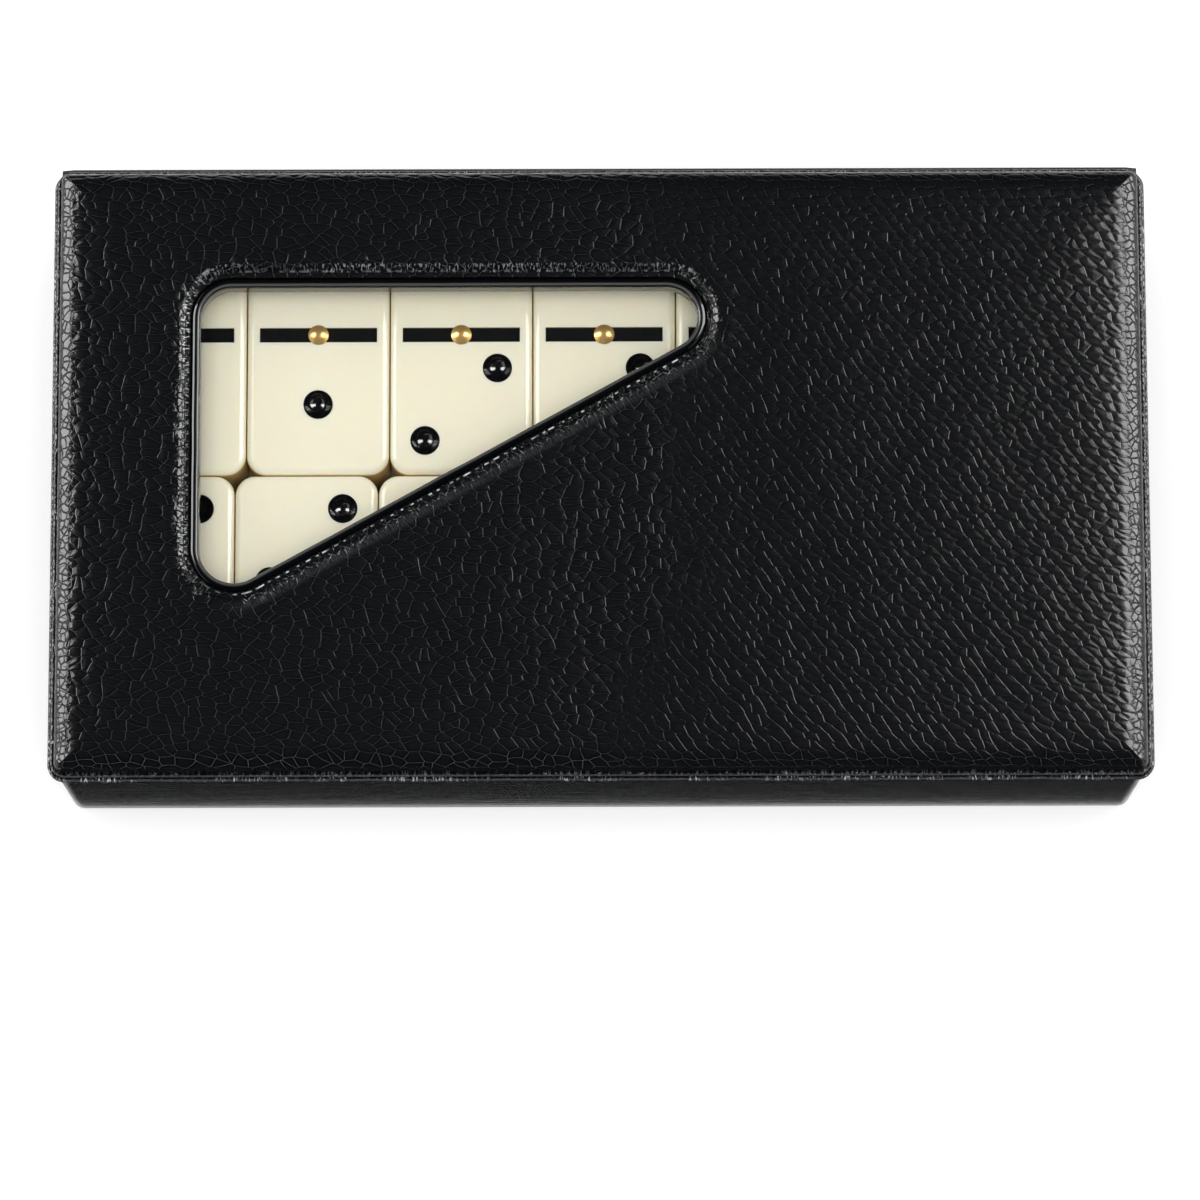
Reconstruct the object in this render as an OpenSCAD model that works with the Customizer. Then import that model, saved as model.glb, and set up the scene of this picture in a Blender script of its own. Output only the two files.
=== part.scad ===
// Domino storage case: a leatherette-covered board box with a padded, hinged lid.
// The lid has a three-cornered clear window, and a double-six set lies in two layers inside.
// Millimetres, +Z up, front at -Y. The origin is the middle of the underside.

/* [Dominoes] */
// Width of one domino
tile_w = 25.4; // [24:0.1:30]
// Length of one domino
tile_l = 50.8; // [46:0.2:60]
// Thickness of one domino
tile_t = 12.7; // [8:0.1:16]
// Plan radius of a domino's corners
tile_corner_r = 3.5; // [2:0.1:5]
// Radius rolled on a domino's edges
tile_edge_r = 1.4; // [0.6:0.1:1.9]
// Gap between neighbours in a row, and between the rows
tile_gap = 0.15; // [0.05:0.05:0.5]
// Width of a pip's dimple at the face
pip_d = 5.45; // [3:0.05:6]
// Depth of a pip's dimple
pip_depth = 1; // [0.5:0.05:1.5]
// Distance of the outer pips from the long middle line
pip_across = 6.45; // [5:0.05:7.5]
// Distance of the outer pips from the middle of their half, along the domino
pip_along = 6.6; // [6.1:0.05:8]
// Length of the divider groove
divider_l = 21; // [14:0.2:22]
// Width of the divider groove
divider_w = 2.65; // [2.2:0.05:3.2]
// Depth of the divider groove
divider_depth = 0.5; // [0.35:0.05:0.8]
// Thickness of the black enamel in the pips and the divider
enamel_t = 0.2; // [0.1:0.05:0.3]
// Diameter of the spinner's domed head
spinner_d = 3.65; // [3.3:0.05:5]
// Height of the spinner's dome above the face
spinner_h = 0.55; // [0.3:0.05:1]
// Diameter of the spinner's shank
shank_d = 1.8; // [1:0.1:2]
// Length of the shank below the face
shank_l = 4.5; // [2:0.1:6]

/* [Room inside] */
// Spare width beside a row of dominoes
spare_w = 8.3; // [5:0.1:20]
// Spare depth over both rows
spare_d = 1.6; // [1:0.1:10]
// Clearance behind the back row
back_clear = 0.3; // [0.1:0.1:0.6]
// Height from the upper dominoes to the rim
headroom = 5; // [3.5:0.1:12]
// How far the upper back row lies to the right of the middle
back_row_shift = 0.78; // [-2:0.02:2]
// How far the upper front row lies to the right of the middle
front_row_shift = -1.18; // [-2:0.02:2]
// Air over each lower domino's spinner
stack_clear = 0.05; // [0.05:0.05:0.5]

/* [Boards and skins] */
// Thickness of the base's greyboard
board_t = 2; // [1.5:0.1:3]
// Thickness of the leatherette on the base
skin_t = 0.5; // [0.3:0.05:0.8]
// Thickness of the wall lining
lining_t = 0.4; // [0.2:0.05:0.8]
// Thickness of the foam under the dominoes
floor_foam_t = 4; // [1:0.5:8]
// Thickness of the flocked cloth on the foam
floor_cloth_t = 0.5; // [0.3:0.1:1]
// Plan radius of the base's upright corners
wall_corner_r = 2.4; // [1:0.1:5]
// Clearance between pieces that are slipped into each other
slip = 0.05; // [0.02:0.01:0.2]

/* [Rim and hinge] */
// How far the base's sealed rim stands out of the walls
rim_out = 0.9; // [0.5:0.05:2]
// Thickness of the base's rim
rim_t = 1.4; // [1:0.1:2.5]
// Plan radius of the rim's corners
rim_corner_r = 3; // [1.5:0.1:6]
// Radius rolled on the rim's outer edge
rim_edge_r = 0.5; // [0.2:0.05:0.5]
// Thickness of the vinyl hinge strip
strip_t = 0.8; // [0.4:0.05:0.9]
// How far the hinge strip stops short of each end of the rim
strip_end = 1.3; // [0.5:0.1:20]
// Height of the hinge leaf on the back wall
strip_leaf_h = 14; // [6:0.5:25]

/* [Lid] */
// Setback of the lid's edge from the base's rim
lid_setback = 0.6; // [0.2:0.05:1.5]
// Thickness of the lid's sealed edge
flange_t = 1.2; // [1:0.1:2.5]
// Radius rolled on the sealed edge
flange_edge_r = 0.4; // [0.1:0.05:0.5]
// Width of the sealed edge outside the padding
flange_w = 0.8; // [0.4:0.05:3]
// Height of the padded top above the sealed edge
pad_h = 3.4; // [3.2:0.1:6]
// Plan radius of the padded top's corners
pad_corner_r = 3.6; // [3.4:0.1:8]
// Radius of the padded top's rolled edge
pad_edge_r = 3.2; // [1.5:0.1:3.2]
// Thickness of the padded leatherette
cover_t = 0.6; // [0.4:0.05:0.9]
// Thickness of the lid's greyboard
lid_board_t = 1.8; // [1.2:0.1:2.2]
// Thickness of the leatherette turned in under the board
turn_in_t = 0.6; // [0.5:0.05:0.7]
// How far the lid's inner panel drops into the base's mouth
panel_drop = 1; // [0.4:0.1:2]
// Clearance of the inner panel from the mouth
panel_clear = 0.8; // [0.5:0.1:3]

/* [Window] */
// Distance of the window's left side from the side of the case
window_from_side = 26.6; // [12:0.1:50]
// Distance of the window's back side from the back of the lid
window_from_back = 22.1; // [12:0.1:30]
// Length of the window's back side, to its sharp corner
window_w = 104.1; // [70:0.1:120]
// Length of the window's left side, to its sharp corner
window_d = 57.6; // [45:0.1:65]
// Radius of the window's square corner
square_corner_r = 5.5; // [3:0.1:8]
// Radius of the window's front corner
front_corner_r = 6.2; // [3:0.1:8]
// Radius of the window's right tip
tip_corner_r = 5.6; // [3:0.1:6]
// Width of the bead round the window
bead_w = 1.7; // [1.2:0.1:3]
// Width of the sealed land between the bead and the padding
seal_w = 1.2; // [0.6:0.05:2]
// Depth of the sealed land below the padding
seal_depth = 0.3; // [0.1:0.05:0.35]
// How far the clear pane runs under the board, past the window
pane_margin = 6; // [3:0.5:9]
// Thickness of the clear pane
pane_t = 0.4; // [0.2:0.05:0.5]

/* [Hidden] */
$fn = 32;
path_step = 9;
bead_step = 18;

// A double-six set less the three dominoes that are out of the case
OUT = [[0, 6], [1, 6], [6, 6]];
BACK_TOP = [[0, 0], [0, 1], [0, 2], [0, 3], [0, 4], [0, 5], [1, 1]];
FRONT_TOP = [[2, 1], [2, 2], [2, 3], [2, 4]];
columns = 7;
layers = 2;

function low(t) = min(t[0], t[1]);
function high(t) = max(t[0], t[1]);
function in_list(t, list) = len([for (u = list) if (low(u) == low(t) && high(u) == high(t)) u]) > 0;
function domino_name(t) = str("domino_", low(t), "_", high(t));

LOWER = [for (a = [0 : 6]) for (b = [a : 6])
    if (!in_list([a, b], OUT) && !in_list([a, b], BACK_TOP) && !in_list([a, b], FRONT_TOP)) [a, b]];
// Each place is the domino, its layer, its row (0 at the back) and its column
PLACES = concat(
    [for (k = [0 : len(LOWER) - 1]) [LOWER[k], 0, floor(k / columns), k % columns]],
    [for (k = [0 : len(BACK_TOP) - 1]) [BACK_TOP[k], 1, 0, k]],
    [for (k = [0 : len(FRONT_TOP) - 1]) [FRONT_TOP[k], 1, 1, k]]);

// Room inside and the walls round it
tile_pitch = tile_w + tile_gap;
layer_pitch = tile_t + spinner_h + stack_clear;
row_w = columns * tile_pitch - tile_gap;
inner_w = row_w + spare_w;
inner_d = 2 * tile_l + tile_gap + spare_d;
wall_t = skin_t + board_t + lining_t;
wall_z = skin_t + board_t;
floor_z = wall_z + floor_foam_t + floor_cloth_t;
tiles_top = floor_z + (layers - 1) * layer_pitch + tile_t;
base_h = tiles_top + headroom;
wall_h = base_h - rim_t - wall_z;

// Outer edges of the base's rim, which is the widest part of the case
case_w = inner_w + 2 * (wall_t + rim_out);
case_d = inner_d + 2 * wall_t + rim_out;
front_y = -(case_d + strip_t) / 2;
back_y = front_y + case_d;
mouth_front = front_y + rim_out + wall_t;
mouth_back = back_y - wall_t;
rows_back = mouth_back - back_clear;
strip_w = case_w - 2 * strip_end;

// Heights in the lid
board_z = base_h + turn_in_t;
foam_z = board_z + lid_board_t;
pad_z = base_h + flange_t;
lid_top = pad_z + pad_h;
panel_z = base_h - panel_drop;
pad_inset = lid_setback + flange_w;
// Setback of the board inside the cover, whose rolled edge leans in over the board's top
roll_r = pad_edge_r - cover_t;
roll_rise = max(foam_z - (lid_top - pad_edge_r), 0);
board_back = roll_r - sqrt(pow(roll_r, 2) - pow(roll_rise, 2)) + slip;

// Pips and spinners
pip_sphere_r = (pow(pip_d / 2, 2) + pow(pip_depth, 2)) / (2 * pip_depth);
spinner_sphere_r = (pow(spinner_d / 2, 2) + pow(spinner_h, 2)) / (2 * spinner_h);

// The window's corners, anticlockwise from the square one, each with its radius
window_left = -case_w / 2 + window_from_side;
window_back = back_y - window_from_back;
WINDOW = [[window_left, window_back, square_corner_r],
          [window_left, window_back - window_d, front_corner_r],
          [window_left + window_w, window_back, tip_corner_r]];

function unit(v) = v / norm(v);
function corner(path, i) = let (c = path[(i + len(path)) % len(path)]) [c[0], c[1]];
function heading(path, i) = unit(corner(path, i + 1) - corner(path, i));
function turning(path, i) = acos(heading(path, i - 1) * heading(path, i));
function radius(path, i) = path[(i + len(path)) % len(path)][2];
function tangent(path, i) = radius(path, i) * tan(turning(path, i) / 2);
function arc_start(path, i) = corner(path, i) - heading(path, i - 1) * tangent(path, i);
function arc_end(path, i) = corner(path, i) + heading(path, i) * tangent(path, i);
function outward(d) = [d[1], -d[0]];
function arc_centre(path, i) = arc_start(path, i) - outward(heading(path, i - 1)) * radius(path, i);

// Stations round a rounded path: an arc's centre, its radius and the direction out of it
function stations(path) = [for (i = [0 : len(path) - 1]) let (
        out = outward(heading(path, i - 1)),
        steps = ceil(turning(path, i) / path_step))
    for (k = [0 : steps])
        [arc_centre(path, i), radius(path, i), atan2(out[1], out[0]) + turning(path, i) * k / steps]];

// Point at a station, a distance outwards from the path
function beside(station, out) = station[0] + (station[1] + out) * [cos(station[2]), sin(station[2])];

// Area inside a rounded path, grown outwards
module path_area(path, grow = 0) {
    polygon([for (s = stations(path)) beside(s, grow)]);
}

// A closed section swept round a rounded path: its X points outwards from the path and its Y up
module path_sweep(path, section) {
    rings = stations(path);
    n = len(section);
    polyhedron(
        [for (r = rings) for (s = section) let (p = beside(r, s[0])) [p[0], p[1], s[1]]],
        [for (j = [0 : len(rings) - 1]) for (k = [0 : n - 1]) let (
            a = j * n, b = ((j + 1) % len(rings)) * n, l = (k + 1) % n) [a + k, a + l, b + l, b + k]]);
}

// A rolled edge's section, with its centre at the origin: a quarter disc
module quarter_disc(r) {
    intersection() {
        circle(r);
        square(r);
    }
}

// Half a section with rolled edges, from X = 0 out to half its span
module half_section(half, h, r_top, r_bottom) {
    polygon(concat(
        [[0, 0]], r_bottom > 0 ? [[half - r_bottom, 0], [half, r_bottom]] : [[half, 0]],
        [[half, h - r_top], [half - r_top, h], [0, h]]));
    translate([half - r_top, h - r_top]) quarter_disc(r_top);
    if (r_bottom > 0) translate([half - r_bottom, r_bottom]) rotate(-90) quarter_disc(r_bottom);
}

// A whole section with rolled edges, centred on X and standing on Y = 0
module rolled_section(span, h, r_top, r_bottom) {
    x = span / 2;
    polygon(concat(
        r_bottom > 0 ? [[-x, r_bottom], [r_bottom - x, 0], [x - r_bottom, 0], [x, r_bottom]]
                     : [[-x, 0], [x, 0]],
        [[x, h - r_top], [x - r_top, h], [r_top - x, h], [-x, h - r_top]]));
    for (side = [0, 1]) mirror([side, 0]) {
        translate([x - r_top, h - r_top]) quarter_disc(r_top);
        if (r_bottom > 0) translate([x - r_bottom, r_bottom]) rotate(-90) quarter_disc(r_bottom);
    }
}

// A rectangular slab between two corners, with round upright corners and rolled edges
module rolled_slab(low_corner, high_corner, h, r_corner, r_top, r_bottom = 0) {
    w = high_corner[0] - low_corner[0];
    d = high_corner[1] - low_corner[1];
    translate([(low_corner[0] + high_corner[0]) / 2, (low_corner[1] + high_corner[1]) / 2, 0]) {
        rotate([90, 0, 90]) translate([0, 0, r_corner - w / 2])
            linear_extrude(w - 2 * r_corner) rolled_section(d, h, r_top, r_bottom);
        rotate([90, 0, 0]) translate([0, 0, r_corner - d / 2])
            linear_extrude(d - 2 * r_corner) rolled_section(w, h, r_top, r_bottom);
        for (turn = [0 : 3]) {
            side = turn == 0 || turn == 3 ? 1 : -1;
            end = turn < 2 ? 1 : -1;
            translate([side * (w / 2 - r_corner), end * (d / 2 - r_corner), 0]) rotate(90 * turn)
                rotate_extrude(angle = 90) half_section(r_corner, h, r_top, r_bottom);
        }
    }
}

// Plan of the base's walls, set in from their outer face
module wall_area(inset) {
    r = max(wall_corner_r - inset, 0);
    x = case_w / 2 - rim_out - inset;
    y0 = front_y + rim_out + inset;
    y1 = back_y - inset;
    translate([-x, y0 + r]) square([2 * x, y1 - y0 - 2 * r]);
    translate([-x + r, y0]) square([2 * (x - r), y1 - y0]);
    if (r > 0) for (side = [-1, 1]) for (y = [y0 + r, y1 - r])
        translate([side * (x - r), y]) circle(r);
}

// Base

module bottom_cover() {
    color("#1b1b1d") linear_extrude(skin_t) wall_area(0);
}

module bottom_board() {
    color("#8d8676") translate([0, 0, skin_t]) linear_extrude(board_t) wall_area(skin_t);
}

// Front or back wall: the strip of the board outline behind the skin
module end_wall(y) {
    color("#8d8676") translate([0, 0, wall_z]) linear_extrude(wall_h) intersection() {
        wall_area(skin_t);
        translate([-case_w / 2, y]) square([case_w, board_t]);
    }
}

module front_wall_board() {
    end_wall(front_y + rim_out + skin_t);
}

module back_wall_board() {
    end_wall(back_y - skin_t - board_t);
}

module side_wall(x) {
    y0 = front_y + rim_out + skin_t + board_t;
    y1 = back_y - skin_t - board_t;
    color("#8d8676") translate([x, y0, wall_z]) cube([board_t, y1 - y0, wall_h]);
}

module left_wall_board() {
    side_wall(-inner_w / 2 - lining_t - board_t);
}

module right_wall_board() {
    side_wall(inner_w / 2 + lining_t);
}

module side_wrap() {
    color("#1b1b1d") translate([0, 0, skin_t]) linear_extrude(base_h - rim_t - skin_t) difference() {
        wall_area(0);
        wall_area(skin_t);
    }
}

// Sealed rim on top of the walls, let down at the back for the hinge leaf
module base_rim() {
    color("#161618") translate([0, 0, base_h - rim_t]) difference() {
        rolled_slab([-case_w / 2, front_y], [case_w / 2, back_y], rim_t, rim_corner_r,
                    rim_edge_r, rim_edge_r);
        translate([-inner_w / 2, mouth_front, -1]) cube([inner_w, inner_d, rim_t + 2]);
        translate([-strip_w / 2 - slip, mouth_back - 1, rim_t - strip_t])
            cube([strip_w + 2 * slip, wall_t + 2, rim_t]);
    }
}

module wall_lining() {
    color("#26262b") translate([0, 0, wall_z]) linear_extrude(wall_h) difference() {
        wall_area(skin_t + board_t);
        wall_area(wall_t);
    }
}

module floor_foam() {
    color("#45454a") translate([0, 0, wall_z]) linear_extrude(floor_foam_t) wall_area(wall_t + slip);
}

module floor_cloth() {
    color("#2a2a30") translate([0, 0, wall_z + floor_foam_t])
        linear_extrude(floor_cloth_t) wall_area(wall_t + slip);
}

// Vinyl strip: one leaf on the back wall, one under the back of the lid, and the bend between
module hinge_strip() {
    color("#131315") translate([-strip_w / 2, 0, 0]) rotate([90, 0, 90]) linear_extrude(strip_w) {
        translate([back_y, base_h - strip_leaf_h]) square([strip_t, strip_leaf_h - strip_t]);
        translate([mouth_back, base_h - strip_t]) square([back_y - mouth_back, strip_t]);
        intersection() {
            translate([back_y, base_h - strip_t]) circle(strip_t);
            translate([back_y, base_h - strip_t]) square(strip_t);
        }
    }
}

// Dominoes

// Places of the pips of one half, as steps across and along from its middle
function pips(value) = concat(
    value % 2 == 1 ? [[0, 0]] : [],
    value >= 2 ? [[1, 1], [-1, -1]] : [],
    value >= 4 ? [[-1, 1], [1, -1]] : [],
    value == 6 ? [[-1, 0], [1, 0]] : []);

// Pip centres on a domino's face: the first number is on the half towards the back
function pip_places(t) = [for (half = [0, 1]) for (p = pips(t[half]))
    [p[0] * pip_across, (half == 0 ? 1 : -1) * tile_l / 4 + p[1] * pip_along]];

function row_shift(place) = place[1] == 0 ? 0 : place[2] == 0 ? back_row_shift : front_row_shift;
function place_x(place) = row_shift(place) - row_w / 2 + place[3] * tile_pitch + tile_w / 2;
function place_y(place) = rows_back - place[2] * (tile_l + tile_gap) - tile_l / 2;
function place_at(place) = [place_x(place), place_y(place), floor_z + place[1] * layer_pitch];

module domino(place) {
    color("#efe9d2") translate(place_at(place)) difference() {
        rolled_slab([-tile_w / 2, -tile_l / 2], [tile_w / 2, tile_l / 2], tile_t, tile_corner_r,
                    tile_edge_r, tile_edge_r);
        for (p = pip_places(place[0]))
            translate([p[0], p[1], tile_t + pip_sphere_r - pip_depth]) sphere(pip_sphere_r);
        translate([-divider_l / 2, -divider_w / 2, tile_t - divider_depth])
            cube([divider_l, divider_w, tile_t]);
        translate([0, 0, tile_t - shank_l - slip]) cylinder(d = shank_d + 2 * slip, h = shank_l + 1);
    }
}

// Thin black enamel on the dimple's wall, ending just below the face
module pip_fill() {
    intersection() {
        translate([0, 0, pip_sphere_r - pip_depth]) difference() {
            sphere(pip_sphere_r - slip / 2);
            sphere(pip_sphere_r - enamel_t);
        }
        translate([-pip_d, -pip_d, -2 * pip_depth - slip]) cube([2 * pip_d, 2 * pip_d, 2 * pip_depth]);
    }
}

module pip_enamel() {
    color("#0b0b0c") for (place = PLACES) for (p = pip_places(place[0]))
        translate(place_at(place) + [p[0], p[1], tile_t]) pip_fill();
}

module divider_enamel() {
    color("#101012") for (place = PLACES)
        translate(place_at(place) + [0, 0, tile_t - divider_depth]) difference() {
            translate([slip - divider_l / 2, slip - divider_w / 2, 0])
                cube([divider_l - 2 * slip, divider_w - 2 * slip, enamel_t]);
            translate([0, 0, -1]) cylinder(d = shank_d + 2 * slip, h = enamel_t + 2);
        }
}

module spinner() {
    intersection() {
        translate([0, 0, spinner_h - spinner_sphere_r]) sphere(spinner_sphere_r);
        cylinder(d = spinner_d + 1, h = spinner_h);
    }
    translate([0, 0, -shank_l]) cylinder(d = shank_d, h = shank_l);
}

module spinner_pins() {
    color("#c9a24a") for (place = PLACES) translate(place_at(place) + [0, 0, tile_t]) spinner();
}

// Lid

// Padded top's outline as a slab, set in from its outer face
module pad_slab(inset, h) {
    x = case_w / 2 - pad_inset - inset;
    rolled_slab([-x, front_y + pad_inset + inset], [x, back_y - flange_w - inset], h,
                pad_corner_r - inset, pad_edge_r - inset);
}

// Straight-sided plan of what lies under the padded leatherette
module under_cover_area(grow = 0) {
    x = case_w / 2 - pad_inset - cover_t + grow;
    y0 = front_y + pad_inset + cover_t - grow;
    y1 = back_y - flange_w - cover_t + grow;
    r = pad_corner_r - cover_t + grow;
    translate([-x, y0 + r]) square([2 * x, y1 - y0 - 2 * r]);
    translate([-x + r, y0]) square([2 * (x - r), y1 - y0]);
    for (side = [-1, 1]) for (y = [y0 + r, y1 - r]) translate([side * (x - r), y]) circle(r);
}

// Sealed edge, with the leatherette turned in below the board
module lid_edge() {
    x = case_w / 2 - lid_setback;
    color("#161618") translate([0, 0, base_h]) difference() {
        rolled_slab([-x, front_y + lid_setback], [x, back_y], flange_t, rim_corner_r - lid_setback / 2,
                    flange_edge_r, flange_edge_r);
        translate([0, 0, turn_in_t]) linear_extrude(flange_t) under_cover_area(slip);
        translate([-inner_w / 2, mouth_front, -1]) cube([inner_w, inner_d, flange_t + 2]);
    }
}

module lid_board() {
    color("#8d8676") translate([0, 0, board_z]) linear_extrude(lid_board_t) difference() {
        under_cover_area(-board_back);
        path_area(WINDOW, bead_w + slip);
    }
}

module lid_foam() {
    color("#45454a") difference() {
        translate([0, 0, pad_z]) pad_slab(cover_t + slip, pad_h - cover_t - slip);
        translate([-case_w / 2, front_y, foam_z - tile_t]) cube([case_w, case_d, tile_t]);
        translate([0, 0, board_z]) linear_extrude(lid_top) path_area(WINDOW, bead_w + slip);
    }
}

module lid_cover() {
    color("#1b1b1d") difference() {
        translate([0, 0, pad_z]) pad_slab(0, pad_h);
        translate([0, 0, pad_z - 1]) pad_slab(cover_t, pad_h - cover_t + 1);
        translate([0, 0, board_z]) linear_extrude(lid_top) path_area(WINDOW, bead_w + slip);
        translate([0, 0, lid_top - seal_depth]) linear_extrude(tile_t) path_area(WINDOW, bead_w + seal_w);
    }
}

// Bead round the window: a collar on the pane with a round top, level with the padding
module window_bead() {
    r = bead_w / 2;
    round_z = lid_top - board_z - r;
    color("#0f0f11") translate([0, 0, board_z])
        path_sweep(WINDOW, concat([[0, 0]], [for (a = [180 : -bead_step : 0])
            [r + r * cos(a), round_z + r * sin(a)]], [[bead_w, 0]]));
}

module window_pane() {
    color("#dfe6e8", 0.3) translate([0, 0, board_z - pane_t])
        linear_extrude(pane_t) path_area(WINDOW, pane_margin);
}

// Lined panel under the board, which drops into the base's mouth and holds the pane
module lid_inner_panel() {
    color("#26262b") translate([0, 0, panel_z]) difference() {
        translate([panel_clear - inner_w / 2, mouth_front + panel_clear, 0])
            cube([inner_w - 2 * panel_clear, inner_d - 2 * panel_clear, board_z - panel_z]);
        translate([0, 0, -1]) linear_extrude(lid_top) path_area(WINDOW, bead_w / 2);
        translate([0, 0, board_z - panel_z - pane_t])
            linear_extrude(pane_t + 1) path_area(WINDOW, pane_margin + slip);
    }
}

bottom_cover();
bottom_board();
front_wall_board();
back_wall_board();
left_wall_board();
right_wall_board();
side_wrap();
base_rim();
wall_lining();
floor_foam();
floor_cloth();
for (place = PLACES) domino(place);
pip_enamel();
divider_enamel();
spinner_pins();
hinge_strip();
lid_edge();
lid_board();
lid_foam();
lid_cover();
window_bead();
window_pane();
lid_inner_panel();
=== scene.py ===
"""Domino storage case: a covered board box with a padded, hinged lid and a three-cornered window.

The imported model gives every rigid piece. This script adds the soft and swept pieces, the finishes and
a studio.
"""

import math

import bmesh
import bpy
import numpy as np
from mathutils import Matrix, Vector, geometry, noise


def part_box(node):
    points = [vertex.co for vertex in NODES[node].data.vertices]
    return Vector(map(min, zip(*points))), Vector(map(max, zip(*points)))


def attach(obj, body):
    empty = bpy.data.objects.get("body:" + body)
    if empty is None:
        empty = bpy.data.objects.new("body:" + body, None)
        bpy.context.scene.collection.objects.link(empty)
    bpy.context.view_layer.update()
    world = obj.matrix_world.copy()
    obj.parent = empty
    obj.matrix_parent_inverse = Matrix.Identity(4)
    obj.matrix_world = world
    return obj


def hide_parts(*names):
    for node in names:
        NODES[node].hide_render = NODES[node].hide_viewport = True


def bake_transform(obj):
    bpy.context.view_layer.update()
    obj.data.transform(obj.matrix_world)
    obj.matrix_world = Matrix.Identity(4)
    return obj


bl_info = {
    "name": "Domino Storage Case",
    "version": (1, 0, 0),
    "blender": (4, 5, 0),
    "location": "View3D > Sidebar > Domino Case",
    "description": "Dresses a hinged domino case with its padded lid, window, dominoes and linings",
    "category": "Object",
}

MM = 0.001
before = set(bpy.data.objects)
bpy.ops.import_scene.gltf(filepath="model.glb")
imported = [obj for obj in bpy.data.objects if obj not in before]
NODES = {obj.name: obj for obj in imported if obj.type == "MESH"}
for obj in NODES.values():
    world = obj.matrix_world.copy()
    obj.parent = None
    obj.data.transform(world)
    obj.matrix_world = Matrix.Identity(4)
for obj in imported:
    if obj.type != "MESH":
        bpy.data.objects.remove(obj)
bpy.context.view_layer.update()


def cad(node):
    """Lowest and highest corner of a node in millimetres"""
    low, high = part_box(node)
    return np.array(low) / MM, np.array(high) / MM


LID_TOP = float(cad("lid_cover")[1][2])

# The window's corners, anticlockwise from the square one, each with its radius, in millimetres
WINDOW = [(-70.7, 32.525, 5.5), (-70.7, -25.075, 6.2), (33.4, 32.525, 5.6)]
BEAD_WIDTH = 1.7

# Edges that turn by more degrees than this stay crisp
HARD_EDGE = 50

# The photograph's frame, with the lens and its upward shift as fitted to it, in pixels
PHOTO_WIDTH = 1200
PHOTO_LENS = 5544.09
PHOTO_SHIFT = 100.08


# Sizes and colours


class CaseLook(bpy.types.PropertyGroup):
    """Sizes and colours of the dressed case"""

    shoulder_radius: bpy.props.FloatProperty(
        name="Shoulder Radius",
        description="Radius of the easy shoulder over the padded top's roll, in millimetres",
        default=5.6, min=2.0, max=8.0)
    crown: bpy.props.FloatProperty(
        name="Crown",
        description="How far the padding stands above the edge of its roll, in millimetres",
        default=0.45, min=0.0, max=1.2)
    window_dip: bpy.props.FloatProperty(
        name="Window Dip",
        description="How far the padding is drawn down at the window's seal, in millimetres",
        default=0.75, min=0.2, max=1.2)
    pucker: bpy.props.FloatProperty(
        name="Pucker", description="Height of the puckers beside the seals, in millimetres",
        default=0.18, min=0.0, max=0.4)
    grain_size: bpy.props.FloatProperty(
        name="Grain Size",
        description="Width of one pebble of the leatherette's grain, in millimetres",
        default=2.4, min=1.0, max=5.0)
    leatherette: bpy.props.FloatVectorProperty(
        name="Leatherette", description="Colour of the black leatherette",
        subtype="COLOR", size=3, default=(0.0022, 0.0025, 0.0030), min=0.0, max=1.0)
    # Painted glint colour of the pale creases between the grain's pebbles
    crease: bpy.props.FloatVectorProperty(
        name="Crease", description="Colour of the fine creases between the grain's pebbles",
        subtype="COLOR", size=3, default=(0.074, 0.078, 0.084), min=0.0, max=1.0)
    # Painted glint colour of the bright dashes and fringe at the window's seal, also used for the sealed
    # rim's welded marks
    seal: bpy.props.FloatVectorProperty(
        name="Seal",
        description="Colour of the bright dashes and fringe where the sheet is sealed at the window",
        subtype="COLOR", size=3, default=(0.52, 0.53, 0.55), min=0.0, max=1.0)
    ivory: bpy.props.FloatVectorProperty(
        name="Ivory", description="Colour of the dominoes",
        subtype="COLOR", size=3, default=(0.93, 0.885, 0.745), min=0.0, max=1.0)
    # Painted shade and glow on the dominoes' sides
    ivory_side_shade: bpy.props.FloatVectorProperty(
        name="Ivory Side", description="Colour of the dominoes' sides",
        subtype="COLOR", size=3, default=(0.80, 0.62, 0.29), min=0.0, max=1.0)
    enamel: bpy.props.FloatVectorProperty(
        name="Enamel", description="Colour of the pips and dividers",
        subtype="COLOR", size=3, default=(0.004, 0.004, 0.005), min=0.0, max=1.0)
    brass: bpy.props.FloatVectorProperty(
        name="Brass", description="Colour of the spinners",
        subtype="COLOR", size=3, default=(0.91, 0.58, 0.21), min=0.0, max=1.0)
    flock: bpy.props.FloatVectorProperty(
        name="Flock", description="Colour of the flocked linings",
        subtype="COLOR", size=3, default=(0.012, 0.012, 0.014), min=0.0, max=1.0)


# Finishes


class Wire:
    """A value socket that Python arithmetic extends with Math nodes"""

    def __init__(self, finish, socket):
        self.finish, self.socket = finish, socket

    def math(self, operation, *others, clamp=False):
        return self.finish.node(
            "Math", {"operation": operation, "use_clamp": clamp}, dict(enumerate((self, *others))))["Value"]

    def __add__(self, other):
        return self.math("ADD", other)

    def __sub__(self, other):
        return self.math("SUBTRACT", other)

    def __mul__(self, other):
        return self.math("MULTIPLY", other)

    def __truediv__(self, other):
        return self.math("DIVIDE", other)

    def __pow__(self, other):
        return self.math("POWER", other)

    def __radd__(self, other):
        return self + other

    def __rmul__(self, other):
        return self * other

    def __rsub__(self, other):
        return self.finish.node("Math", {"operation": "SUBTRACT"}, {0: other, 1: self})["Value"]

    def clipped(self):
        """The value kept between 0 and 1"""
        return self.math("ADD", 0.0, clamp=True)


class Made:
    """A new node whose outputs are read by name"""

    def __init__(self, finish, made):
        self.finish, self.made = finish, made

    def __getitem__(self, name):
        return Wire(self.finish, self.made.outputs[name])


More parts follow.
